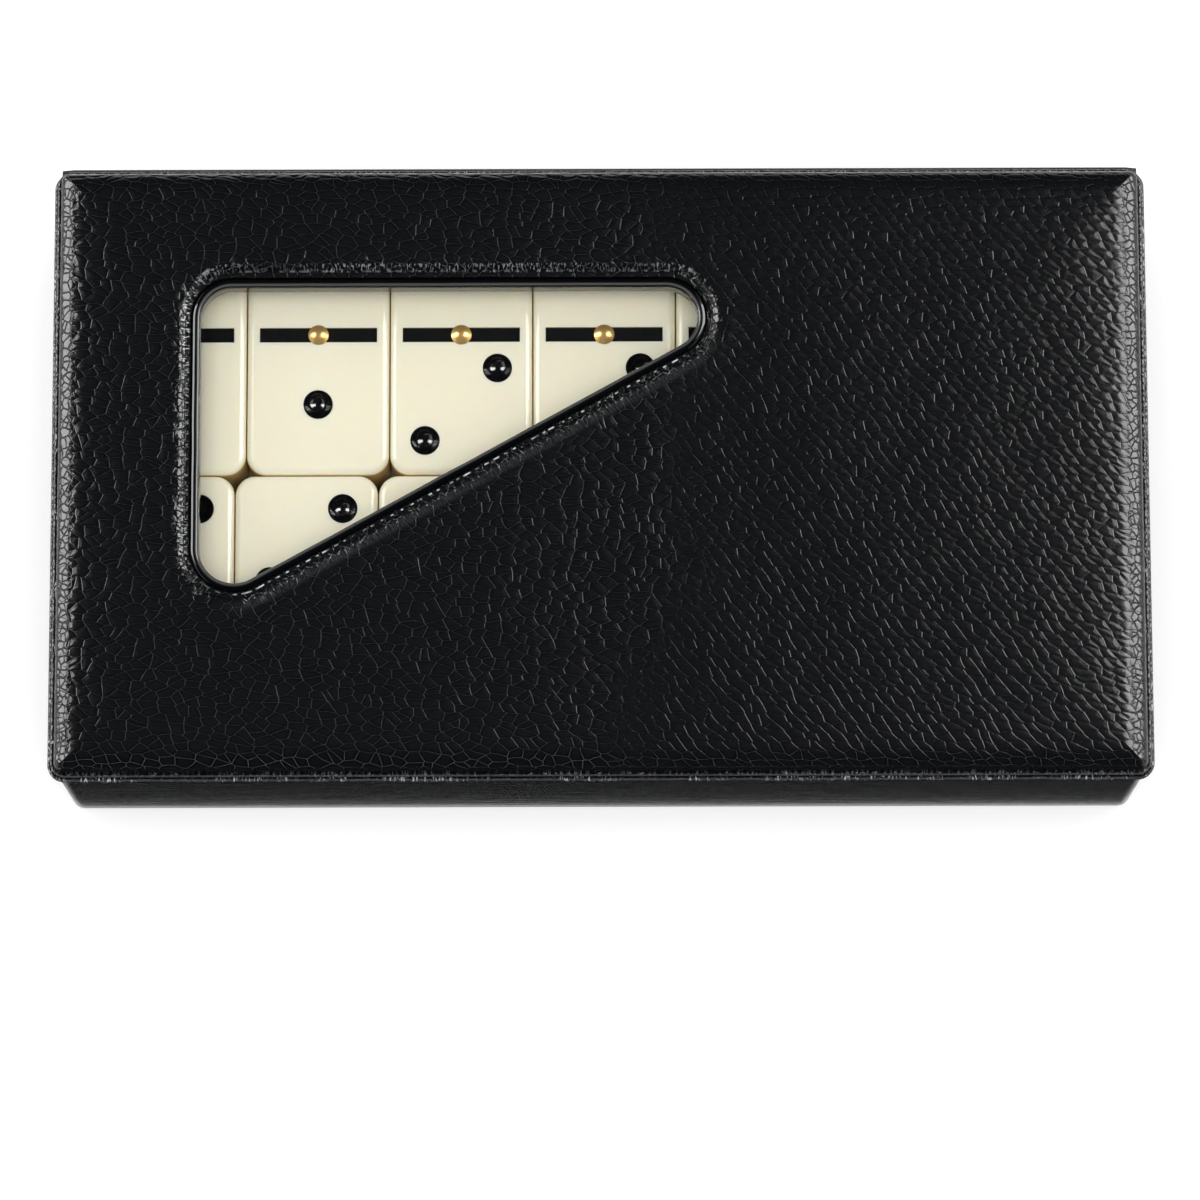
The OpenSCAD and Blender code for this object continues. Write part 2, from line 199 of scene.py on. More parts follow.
class Finish:
    """A material or world whose nodes are added one by one, with sizes in millimetres"""

    def __init__(self, name, owner=None):
        self.owner = owner or bpy.data.materials.new(name)
        self.owner.use_nodes = True
        self.tree = self.owner.node_tree
        self.tree.nodes.clear()

    def node(self, kind, settings=None, links=None):
        """Adds a node with its settings first, then the values or links of its sockets"""
        made = self.tree.nodes.new("ShaderNode" + kind)
        for name, value in (settings or {}).items():
            setattr(made, name, value)
        for name, value in (links or {}).items():
            socket = made.inputs[name]
            if isinstance(value, Wire):
                self.tree.links.new(value.socket, socket)
            elif socket.type == "RGBA":
                socket.default_value = (*value, 1.0)
            else:
                socket.default_value = value
        return Made(self, made)

    def vector(self, operation, *values):
        return self.node("VectorMath", {"operation": operation}, dict(enumerate(values)))["Vector"]

    def parts(self, vector):
        """A vector whose X, Y and Z are read by name"""
        return self.node("SeparateXYZ", None, {"Vector": vector})

    def joined(self, **parts):
        """A vector from its X, Y and Z"""
        return self.node("CombineXYZ", None, parts)["Vector"]

    def stored(self, name):
        """What a mesh stores for each of its points"""
        return self.node("Attribute", {"attribute_name": name})

    def place(self):
        """Position on the piece in millimetres"""
        at = self.node("TexCoord")["Object"]
        return self.node("VectorMath", {"operation": "SCALE"}, {"Vector": at, "Scale": 1 / MM})["Vector"]

    def facing(self):
        """Direction of the surface on the piece, before any bump"""
        return self.node("TexCoord")["Normal"]

    def stretched(self, at, scale, turn=0.0):
        """Positions for a pattern that is drawn out by scale along its own axes, turned so many degrees"""
        return self.node("Mapping", {"vector_type": "TEXTURE"}, {
            "Vector": at, "Rotation": (0.0, 0.0, math.radians(turn)), "Scale": scale})["Vector"]

    def noise(self, at, size, detail=2.0, roughness=0.5):
        return self.node("TexNoise", None, {
            "Vector": at, "Scale": 1 / size, "Detail": detail, "Roughness": roughness})["Fac"]

    def warped(self, at, size, reach):
        """Positions shifted by soft noise"""
        drift = self.node("TexNoise", None, {"Vector": at, "Scale": 1 / size, "Detail": 1.0})["Color"]
        centred = self.vector("SUBTRACT", drift, (0.5, 0.5, 0.5))
        return self.vector("MULTIPLY_ADD", centred, (reach, reach, reach), at)

    def creases(self, at, size, flat=False, scatter=1.0):
        """Distance from the nearest crease between pebbles, where 0 is in the crease"""
        return self.node("TexVoronoi", {
            "feature": "DISTANCE_TO_EDGE", "voronoi_dimensions": "2D" if flat else "3D"}, {
            "Vector": at, "Scale": 1 / size, "Randomness": scatter})["Distance"]

    def lattice(self, at, size, first, second):
        """Positions on a skewed grid, whose two families of lines have a direction and a spacing"""
        def across(degrees, share):
            turn = math.radians(degrees)
            way = (-math.sin(turn) / (size * share), math.cos(turn) / (size * share), 0.0)
            return self.node("VectorMath", {"operation": "DOT_PRODUCT"}, {0: at, 1: way})["Value"]

        return self.joined(X=across(*first), Y=across(*second))

    def ranged(self, value, low, high, at_low, at_high):
        return self.node("MapRange", {"interpolation_type": "SMOOTHSTEP", "clamp": True}, {
            "Value": value, "From Min": low, "From Max": high, "To Min": at_low, "To Max": at_high})["Result"]

    def rising(self, value, low, high):
        """0 up to low, then smoothly up to 1 at high"""
        return self.ranged(value, low, high, 0.0, 1.0)

    def falling(self, value, low, high):
        """1 up to low, then smoothly down to 0 at high"""
        return self.ranged(value, low, high, 1.0, 0.0)

    def between(self, factor, first, second):
        """Colour mixed from first to second"""
        # Sockets 6 and 7 and output 2 are the ones for colours
        return self.node("Mix", {"data_type": "RGBA"}, {0: factor, 6: first, 7: second})[2]

    def toned(self, factor, colour, dark, pale):
        """Colour mixed from dark to pale, each as a share of the colour"""
        return self.between(factor, [c * dark for c in colour], [c * pale for c in colour])

    def bump(self, height, reach, under=None):
        """Normal for a height from 0 to 1 that reaches so far, over the normal under it"""
        links = {"Height": height, "Distance": reach * MM}
        if under is not None:
            links["Normal"] = under
        return self.node("Bump", None, links)["Normal"]

    def rounder(self, amount):
        """Normal of a small dome or cup that is more deeply curved than its mesh"""
        facing = self.node("NewGeometry")["Normal"]
        return self.vector("NORMALIZE", self.vector("MULTIPLY", facing, (amount, amount, 1.0)))

    def seen(self):
        """1 for rays from the camera, off a gloss or through a clear piece"""
        rays = self.node("LightPath")
        return (rays["Is Camera Ray"] + rays["Is Glossy Ray"] + rays["Is Transmission Ray"]).clipped()

    def surface(self, **links):
        """Ends the material in one glossy surface and hands it over"""
        shader = self.node("BsdfPrincipled", None, {k.replace("_", " "): v for k, v in links.items()})
        return self.finish_with(shader["BSDF"])

    def finish_with(self, shader):
        kind = "OutputWorld" if isinstance(self.owner, bpy.types.World) else "OutputMaterial"
        self.node(kind, None, {"Surface": shader})
        return self.owner


def seal_glints(f):
    """Painted glints beside the window's seal, as a share of the seal colour: on the welded dashes, on the
    puckers and as a dull sheen on the shoulder
    """
    seam = f.parts(f.stored("seam")["Vector"])
    run, out, tight = seam["X"], seam["Y"], seam["Z"]
    slope = f.stored("slope")["Fac"]

    def along(run_size, out_size, detail=1.0):
        """Noise whose specks have one size along the seal and another across it"""
        return f.noise(f.joined(X=run / run_size, Y=out / out_size), size=1.0, detail=detail)

    def band(low, high, soft):
        """1 between two distances from the seal, with soft edges"""
        return f.rising(out, low, low + soft) * f.falling(out, high - soft, high)

    # Painted glints on the dashes of the weld, unevenly spaced and brightest on the slanted side
    dash_pitch, unevenness = 1.9, 1.6
    beat = (run / dash_pitch + along(2.2, 9.0) * unevenness).math("FRACT")
    dashes = f.rising(beat, 0.08, 0.2) * f.falling(beat, 0.46, 0.58) * band(0.22, 0.58, soft=0.13)
    dashes = dashes * f.rising(along(1.6, 1.2), 0.34, 0.60) * (slope * 0.95 + 0.14)
    # Painted glints of hair-fine puckers where the sheet is tight
    hairs = f.rising(along(0.30, 0.9, detail=2.0), 0.55, 0.62) * band(0.1, 1.9, soft=0.4) * tight
    # Painted sheen on the padding's shoulder behind the slanted side
    shoulder = f.rising(along(0.24, 1.6, detail=2.0), 0.20, 0.85) * band(1.0, 3.9, soft=1.1) * slope * 0.055
    return (dashes + hairs * 1.1 + shoulder).clipped()


def grained_leatherette(look):
    """Black leatherette whose smooth pebbles lean towards the front right, parted by fine creases painted
    pale as glints, over painted shade in the valleys
    """
    f = Finish("grained leatherette")
    place, facing = f.place(), f.facing()
    lean = f.parts(facing)
    level = lean["Z"]
    # The grain is laid out flat, so that it runs on over the rolled edge without being drawn out
    drop = (LID_TOP - f.parts(place)["Z"]) * 0.6
    laid = f.vector("MULTIPLY_ADD", facing, f.joined(X=drop, Y=drop, Z=drop), place)
    loose = f.warped(laid, size=5.0, reach=1.5)
    size = look.grain_size

    # The leaning grain takes over right of the middle, along an uneven border
    border_sway = 50
    right = f.rising(f.parts(laid)["X"] + f.noise(laid, size=30.0) * border_sway - border_sway / 2, 4.0, 20.0)
    sideways = f.rising(lean["X"].math("ABSOLUTE"), 0.05, 0.22)
    rolled = f.falling(level, 0.93, 0.992) * sideways
    front = f.falling(lean["Y"], -0.42, -0.12) * f.rising(level, 0.5, 0.8)

    # Creases open up where the sheet bends over at the sides
    closed = 1 - rolled * 0.55
    pebbled = f.creases(f.stretched(loose, (1.08, 0.64, 1.0), turn=-9), size, flat=True) * closed
    steep_lines, level_lines = (-52.0, 0.78), (0.0, 0.68)
    leaning = f.lattice(loose, size, steep_lines, level_lines)
    leaning = f.creases(leaning, 1.0, flat=True, scatter=0.6) * closed
    cracked = f.creases(f.warped(laid, size=1.6, reach=0.7), size * 0.56, flat=True)
    pores = f.noise(laid, size=0.34, roughness=0.6)
    depth = f.noise(laid, size=2.6)

    def either(first, second):
        """The first in the pebbled grain and the second in the leaning one"""
        return first * (1 - right) + second * right

    def cells(edge, valley, dome):
        """A pebble's height: a narrow valley at its edge and a broad dome between"""
        return f.rising(edge, 0.0, 0.065) * valley + f.rising(edge, 0.01, 0.42) * dome

    def lines(edge):
        return f.falling(edge, 0.008, 0.034)

    height = either(cells(pebbled, valley=0.09, dome=0.30), cells(leaning, valley=0.085, dome=0.16))
    height = height + f.rising(cracked, 0.0, 0.13) * rolled * 0.62
    normal = f.bump(height + depth * (0.14 - right * 0.08) + pores * 0.025, reach=0.22)

    # Painted glints on the creases, broken into specks, which show most at the front
    specks = f.rising(f.noise(laid, size=0.30), 0.52, 0.66)
    crease_glint_pebbled = lines(pebbled) * (1 - right) * (specks * 0.22 + 0.22)
    crease_glint_leaning = lines(leaning) * right * (specks * 0.29 + 0.13)
    pale = (crease_glint_pebbled + crease_glint_leaning) * (1 - rolled) * (1 + front * 1.8)
    # Painted shade: each pebble darker in its valley and lighter over its dome, with random tone from the
    # depth noise
    swell = either(f.rising(pebbled, 0.01, 0.30), f.rising(leaning, 0.01, 0.30))
    dark = f.toned(swell * 0.7 + depth * 0.3, look.leatherette, dark=0.2, pale=1.9)
    # Painted seal glints over the painted crease glints and the painted pebble shade
    tone = f.between(seal_glints(f), f.between(pale, dark, look.crease), look.seal)
    return f.surface(Base_Color=tone, Roughness=0.16 + pores * 0.07, Normal=normal, IOR=1.5)


def smooth_leatherette(look):
    """Thin black wrap, pulled tight round the walls, with fine wrinkles along them"""
    f = Finish("smooth leatherette")
    at = f.place()
    drawn = f.stretched(f.warped(at, size=6.0, reach=1.2), (9.0, 9.0, 1.0))
    wrinkles = f.noise(drawn, size=1.6, detail=3.0, roughness=0.6)
    pores = f.noise(at, size=0.35)
    return f.surface(
        Base_Color=f.toned(wrinkles, look.leatherette, dark=0.8, pale=1.25), Roughness=0.15 + pores * 0.10,
        Normal=f.bump(wrinkles * 0.7 + pores * 0.3, reach=0.15), IOR=1.45)


def sealed_edge(look, name, glinting):
    """Heat-sealed edge, with small dents, a painted highlight along its ridge and, where it glints, painted
    glints on upright welded marks
    """
    f = Finish(name)
    at = f.place()
    level = f.parts(f.facing())["Z"]
    dents = f.creases(f.warped(at, size=2.0, reach=0.6), 1.1)
    soft = f.noise(at, size=1.8)
    patches = f.noise(at, size=9.0)
    # Painted glints on upright welded marks, in patches
    marks = f.rising(f.noise(f.stretched(at, (0.24, 1.1, 1.1)), size=1.0, detail=1.0), 0.57, 0.68)
    marks = marks * f.rising(patches, 0.42, 0.62) * glinting
    # Painted highlight along the ridge that faces up and out
    ridge = f.rising(level, 0.02, 0.30) * f.falling(level, 0.86, 1.0) * (0.5 + soft * 0.8)
    height = f.rising(dents, 0.0, 0.22) * 0.55 + soft * 0.45
    dark = f.toned(soft, look.leatherette, dark=0.7, pale=1.2)
    ridge_highlight_colour = (0.045, 0.047, 0.050)
    wear_and_sheen = f.between(ridge, dark, ridge_highlight_colour)
    return f.surface(
        Base_Color=f.between(marks, wear_and_sheen, look.seal), Roughness=0.14 + soft * 0.12,
        Normal=f.bump(height, reach=0.20), IOR=1.5)


def bead_vinyl(look):
    """Smooth glossy bead, with a painted glint along its ridge"""
    f = Finish("bead vinyl")
    ripple = f.noise(f.place(), size=5.0, detail=1.0)
    dark = f.toned(ripple, look.leatherette, dark=0.4, pale=0.7)
    return f.surface(
        Base_Color=f.between(f.stored("glint")["Fac"], dark, look.seal), Roughness=0.07 + ripple * 0.06,
        Normal=f.bump(ripple, reach=0.10), IOR=1.5)


def hinge_vinyl(look):
    """Thick vinyl of the hinge strip, with a fine grain"""
    f = Finish("hinge vinyl")
    at = f.place()
    grain = f.creases(f.warped(at, size=3.0, reach=1.0), 0.9)
    soft = f.noise(at, size=6.0)
    height = f.rising(grain, 0.0, 0.2) * 0.8 + soft * 0.2
    return f.surface(
        Base_Color=f.toned(soft, look.leatherette, dark=0.8, pale=1.3), Roughness=0.38 + soft * 0.12,
        Normal=f.bump(height, reach=0.08), IOR=1.5)


def polished_ivory(look):
    """Warm cast ivory, faintly clouded, with a hair-fine polish"""
    f = Finish("polished ivory")
    at = f.place()
    cloud = f.noise(f.stretched(at, (1.0, 2.8, 1.0)), size=14.0, detail=3.0)
    hair = f.noise(f.stretched(at, (0.17, 3.3, 1.0), turn=12), size=1.5)
    deep = [c * share for c, share in zip(look.ivory, (0.97, 0.955, 0.90))]
    face = f.between(cloud, deep, look.ivory)
    # The sides are painted a deeper amber: painted shade in the gaps between the dominoes, and a painted glow
    # of light come through the ivory
    level = f.parts(f.facing())["Z"]
    return f.surface(
        Base_Color=f.between(f.rising(level, 0.02, 0.46), look.ivory_side_shade, face),
        Roughness=0.14 + hair * 0.06, Normal=f.bump(hair, reach=0.004), IOR=1.52,
        Subsurface_Weight=0.4, Subsurface_Radius=(1.0, 0.62, 0.28), Subsurface_Scale=2.2 * MM)


def black_enamel(look):
    """Glossy black enamel"""
    f = Finish("black enamel")
    pool = f.noise(f.place(), size=1.6, detail=1.0)
    return f.surface(
        Base_Color=f.toned(pool, look.enamel, dark=0.6, pale=1.5), Roughness=0.05 + pool * 0.04,
        Normal=f.bump(pool, reach=0.004, under=f.rounder(2.2)), IOR=1.9)


def divider_black():
    """Flat black enamel, duller than the pips"""
    f = Finish("divider black")
    brushed = f.noise(f.stretched(f.place(), (2.5, 0.33, 1.0)), size=0.8)
    return f.surface(
        Base_Color=f.between(brushed, (0.0030, 0.0034, 0.0040), (0.0052, 0.0058, 0.0068)),
        Roughness=0.18 + brushed * 0.08, Normal=f.bump(brushed, reach=0.01), IOR=1.5)


def brass_dome(look):
    """Polished brass with a faint turned finish"""
    f = Finish("brass dome")
    wear_and_sheen = f.noise(f.place(), size=0.5)
    return f.surface(
        Base_Color=f.toned(wear_and_sheen, look.brass, dark=0.86, pale=1.0), Metallic=0.7, Roughness=0.27 + wear_and_sheen * 0.04,
        Normal=f.bump(wear_and_sheen, reach=0.006, under=f.rounder(1.5)))


def flocked(look, name):
    """Short flock, with a nap that catches light at a low angle"""
    f = Finish(name)
    at = f.place()
    nap = f.noise(at, size=0.30, detail=3.0, roughness=0.75)
    brushed = f.stretched(f.warped(at, size=20.0, reach=9.0), (2.4, 1.0, 1.0), turn=20)
    patches = f.noise(brushed, size=8.0, detail=3.0, roughness=0.6)
    lie = f.rising(nap, 0.34, 0.68) * 0.6 + f.rising(patches, 0.32, 0.68) * 0.4
    return f.surface(
        Base_Color=f.toned(lie, look.flock, dark=0.25, pale=2.1), Roughness=0.95,
        Normal=f.bump(nap, reach=0.16), Sheen_Weight=0.12, Sheen_Roughness=0.5)


def greyboard():
    """Pressed board with fibres"""
    f = Finish("greyboard")
    fibres = f.noise(f.stretched(f.place(), (2.0, 0.5, 0.5)), size=0.7, detail=3.0, roughness=0.65)
    return f.surface(
        Base_Color=f.between(fibres, (0.20, 0.18, 0.14), (0.34, 0.31, 0.25)), Roughness=0.9,
        Normal=f.bump(fibres, reach=0.05))


def clear_vinyl():
    """Clear sheet that only its gloss makes visible, slightly wavy"""
    f = Finish("clear vinyl")
    normal = f.bump(f.noise(f.place(), size=24.0, detail=1.0), reach=0.35)
    gloss = f.node("BsdfGlossy", None, {
        "Color": (1.0, 1.0, 1.0), "Roughness": 0.05, "Normal": normal})["BSDF"]
    clear = f.node("BsdfTransparent", None, {"Color": (0.985, 0.985, 0.975)})["BSDF"]
    # Little gloss seen from above and much at a low angle, and never all of it
    aslant = f.node("LayerWeight", None, {"Blend": 0.5, "Normal": normal})["Facing"]
    share = aslant ** 5 * 0.8 + 0.012
    return f.finish_with(f.node("MixShader", None, {0: share, 1: clear, 2: gloss})["Shader"])


def dress(material, *nodes):
    """Gives CAD nodes a finish in each of their material slots"""
    for node in nodes:
        for slot in NODES[node].material_slots:
            slot.material = material


# Mesh tools, in millimetres


def make_piece(name, points, faces, material):
    """A smooth-shaded mesh piece"""
    mesh = bpy.data.meshes.new(name)
    mesh.from_pydata((np.asarray(points) * MM).tolist(), [], [tuple(int(i) for i in face) for face in faces])
    mesh.update()
    mesh.shade_smooth()
    piece = bpy.data.objects.new(name, mesh)
    bpy.context.scene.collection.objects.link(piece)
    mesh.materials.append(material)
    return piece


def face_outwards(piece):
    """Turns every face of a closed mesh to its outer side"""
    solid = bmesh.new()
    solid.from_mesh(piece.data)
    bmesh.ops.recalc_face_normals(solid, faces=solid.faces)
    solid.to_mesh(piece.data)
    solid.free()


def sharpen(piece):
    """Keeps hard edges crisp"""
    piece.data.set_sharp_from_angle(angle=math.radians(HARD_EDGE))


def mark(piece, name, values):
    """Stores a number or a vector for each point"""
    wide = hasattr(values[0], "__len__")
    layer = piece.data.attributes.new(name, "FLOAT_VECTOR" if wide else "FLOAT", "POINT")
    layer.data.foreach_set("vector" if wide else "value", np.asarray(values, dtype=np.float32).ravel())


def ring_faces(first, second, count):
    """Quads between two closed rings of the same number of points, which start at first and second"""
    return [(first + i, first + (i + 1) % count, second + (i + 1) % count, second + i) for i in range(count)]


def filling_faces(points, used, barred=(), upward=True):
    """Triangles over the used points, as seen from above, but none that only joins barred places in used"""
    tolerance = 1e-7
    flat = [Vector(points[i][:2]) for i in used]
    triangles = geometry.delaunay_2d_cdt(flat, [], [], 0, tolerance, False)[2]
    faces = []
    for triangle in triangles:
        if all(i in barred for i in triangle):
            continue
        a, b, c = (flat[i] for i in triangle)
        face = [used[i] for i in triangle]
        faces.append(face if ((b - a).cross(c - a) > 0) == upward else face[::-1])
    return faces


def pointing(angle):
    """Unit direction at an angle"""
    return np.array([math.cos(angle), math.sin(angle)])


def window_stations(run_step, arc_step):
    """Points round the window: place on its outline, outward direction and distance run"""
    corners = [np.array(corner[:2]) for corner in WINDOW]
    radii = [corner[2] for corner in WINDOW]
    headings = [after - before for before, after in zip(corners, corners[1:] + corners[:1])]
    headings = [heading / np.linalg.norm(heading) for heading in headings]
    turns = [math.acos(float(headings[i - 1] @ headings[i])) for i in range(len(corners))]
    stations, run = [], 0.0
    for i, (corner, radius, turn) in enumerate(zip(corners, radii, turns)):
        before, after = headings[i - 1], headings[i]
        reach = radius * math.tan(turn / 2)
        out = np.array([before[1], -before[0]])
        centre = corner - before * reach - out * radius
        steps = max(2, math.ceil(turn / math.radians(arc_step)))
        for k in range(steps):
            way = pointing(math.atan2(out[1], out[0]) + turn * k / steps)
            stations.append((centre + way * radius, way, run + radius * turn * k / steps))
        run += radius * turn

        following = (i + 1) % len(corners)
        start = corner + after * reach
        end = corners[following] - after * radii[following] * math.tan(turns[following] / 2)
        length = float(np.linalg.norm(end - start))
        steps = max(1, round(length / run_step))
        way = np.array([after[1], -after[0]])
        for k in range(steps):
            stations.append((start + (end - start) * k / steps, way, run + length * k / steps))
        run += length
    return stations


def outline_stations(low, high, radius, steps, arc_steps=6):
    """The same round a rectangle with round corners, from the lower right, in so many steps along x and y"""
    (x0, y0), (x1, y1) = low[:2], high[:2]
    stations, run = [], 0.0
    corners = [(x1, y0, -90), (x1, y1, 0), (x0, y1, 90), (x0, y0, 180)]
    for i, (cx, cy, start) in enumerate(corners):
        centre = np.array([cx + (radius if cx == x0 else -radius), cy + (radius if cy == y0 else -radius)])
        for k in range(arc_steps):
            way = pointing(math.radians(start + 90 * k / arc_steps))
            stations.append((centre + way * radius, way, run + radius * math.pi / 2 * k / arc_steps))
        run += radius * math.pi / 2

        upright = i in (0, 2)
        length = (y1 - y0 if upright else x1 - x0) - 2 * radius
        count = steps[1] if upright else steps[0]
        way = pointing(math.radians(start + 90))
        begin = centre + way * radius
        along = np.array([-way[1], way[0]])
        for k in range(count):
            stations.append((begin + along * length * k / count, way, run + length * k / count))
        run += length
    return stations


def spread_points(low, high, spacing):
    """Points on a triangular grid inside a rectangle, clear of its sides"""
    row_share, clear_low, clear_high = 0.866, 0.7, 0.6
    rows = int((high[1] - low[1]) / (spacing * row_share))
    field = []
    for j in range(1, rows):
        y = low[1] + (high[1] - low[1]) * j / rows
        shift = spacing / 2 if j % 2 else 0.0
        xs = np.arange(low[0] + spacing * clear_low + shift, high[0] - spacing * clear_high, spacing)
        field += [(x, y) for x in xs]
    return np.array(field)


def loop_distance(places, loop):
    """Distance of each place from a closed loop"""
    tiny = 1e-12
    a, b = loop[:, :2], np.roll(loop[:, :2], -1, axis=0)
    ab = b - a
    t = np.clip(((places[:, None] - a) * ab).sum(2) / np.maximum((ab * ab).sum(1), tiny), 0, 1)
    nearest = a + ab * t[..., None]
    return np.sqrt(((places[:, None] - nearest) ** 2).sum(2)).min(1)


def wander(x, y, size, seed=0.0):
    """Soft noise between -1 and 1"""
    return noise.noise(Vector((x / size, y / size, seed)))


def bell(value, middle, width):
    """1 at the middle, falling off smoothly to either side"""
    return math.exp(-((value - middle) / width) ** 2)


# Shape of the padded lid, in millimetres


def roll_profile(shoulder_radius):
    """Inset, rise and share of the bend at each step up the roll, from its upright foot to the level top"""
    # How steep the sheet is in degrees where each bend begins, and the bend's radius: tight, easy, then flat
    bends = [(90.0, 1.5), (36.0, shoulder_radius), (10.0, 10.0), (0.0, 0.0)]
    degrees_apart = 5
    profile = [(0.0, 0.0, 0.0)]
    for (steep, radius), (until, _) in zip(bends, bends[1:]):
        parts = max(3, round((steep - until) / degrees_apart))
        inset, rise, _ = profile[-1]
        for k in range(1, parts + 1):
            at = steep + (until - steep) * k / parts
            profile.append((inset + radius * (math.sin(math.radians(steep)) - math.sin(math.radians(at))),
                            rise + radius * (math.cos(math.radians(at)) - math.cos(math.radians(steep))),
                            1 - at / 90))
    return profile


def roll_ripple(look, run, bent):
    """How far the roll stands out or in, which is most at half its bend"""
    coarse = wander(run, 7.0, size=2.2, seed=1.7)
    fine = wander(run, 3.0, size=0.9, seed=4.1)
    return look.pucker * 0.33 * (coarse * 0.6 + fine * 0.4) * math.sin(math.pi * bent)


def seal_height(look, out, run, x, y, slope):
    """Height of the sheet over its weld, so far out from the bead, with its puckers and welded dashes"""
    weld_width, climb = 1.05, 4.2
    t = min(1.0, max(0.0, (out - weld_width) / climb))
    rise = look.window_dip * (1 - (1 - t) ** 6.0)
    bulge = 0.10 * bell(out, 3.6, 1.6)

    left_of_window, denser = -69, 0.45
    patchy = 0.45 + 0.55 * max(0.0, min(1.0, (wander(x, y, size=26.0, seed=3.3) + 0.35)))
    if x < left_of_window:
        patchy += denser
    coarse = wander(run, out * 0.35, size=1.15, seed=7.7)
    fine = wander(run, out * 0.5, size=0.62, seed=2.2)
    pucker = look.pucker * (1.5 - slope) * patchy * (coarse * 0.65 + fine * 0.35) * bell(out, 2.3, 1.5)

    dash_from, dash_to, dash_pitch, dash_share, dash_rise = 0.35, 0.9, 1.52, 0.62, 0.05
    dash = 0.0
    beat = (run / dash_pitch) % 1.0
    if dash_from < out < dash_to and beat < dash_share:
        dash = dash_rise * math.sin(math.pi * (beat / dash_share))
    groove = 0.10 * bell(out, 1.15, 0.25)
    return rise + bulge + pucker + dash - groove


def above_window(y):
    """1 at the seal along the window's back side"""
    return bell(y, 36, 2.0)


def tightness(x, y):
    """How strongly the painted glints of the puckers show at the seal: dense at the tip and the left, loose
    above
    """
    tip_x, tip_y, tip_reach = 35, 31, 7
    tip = math.exp(-(((x - tip_x) / tip_reach) ** 2 + ((y - tip_y) / tip_reach) ** 2))
    left = bell(x, -74, 3.0)
    patchy = min(1.0, max(0.0, 0.65 + 0.8 * wander(x, y, size=11.0, seed=3.3)))
    return min(1.0, tip + left + 0.3 * above_window(y)) * patchy


# Pieces


class CaseOperator(bpy.types.Operator):
    bl_options = {"REGISTER", "UNDO"}


